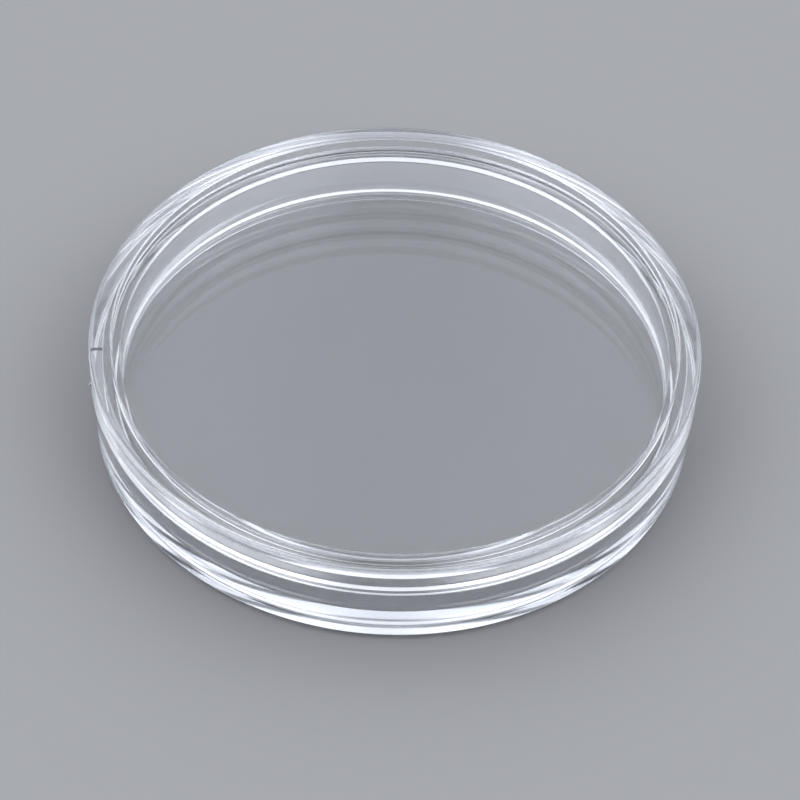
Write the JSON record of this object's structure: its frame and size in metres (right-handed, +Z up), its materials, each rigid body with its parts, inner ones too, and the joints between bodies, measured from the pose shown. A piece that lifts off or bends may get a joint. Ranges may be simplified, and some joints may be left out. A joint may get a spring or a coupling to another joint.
{
  "type": "round coin capsule",
  "caption": "Clear round capsule for a large coin: thick base with a ring wall, middle ring standing on its flange, and lid with a sunk window and a raised stacking rim.",
  "frame": {"origin": "centre of the underside, where the capsule stands", "axes": "+Z up along the capsule's axis; the small gate mark on the middle ring points about 9 degrees from -X towards -Y"},
  "size_m": [0.0564, 0.0564, 0.01],
  "materials": {
    "base_plastic": "gloss",
    "middle_ring_plastic": "gloss",
    "lid_plastic": "gloss"
  },
  "bodies": {
    "base": {"base": "base_plastic"},
    "middle_ring": {"middle_ring": "middle_ring_plastic"},
    "lid": {"lid": "lid_plastic"}
  },
  "joints": [
    {"name": "ring_lift", "type": "slide", "parent": "base", "child": "middle_ring", "axis": [0, 0, 1], "range_m": [0, 0.012]},
    {"name": "lid_lift", "type": "slide", "parent": "middle_ring", "child": "lid", "axis": [0, 0, 1], "range_m": [0, 0.02]}
  ]
}
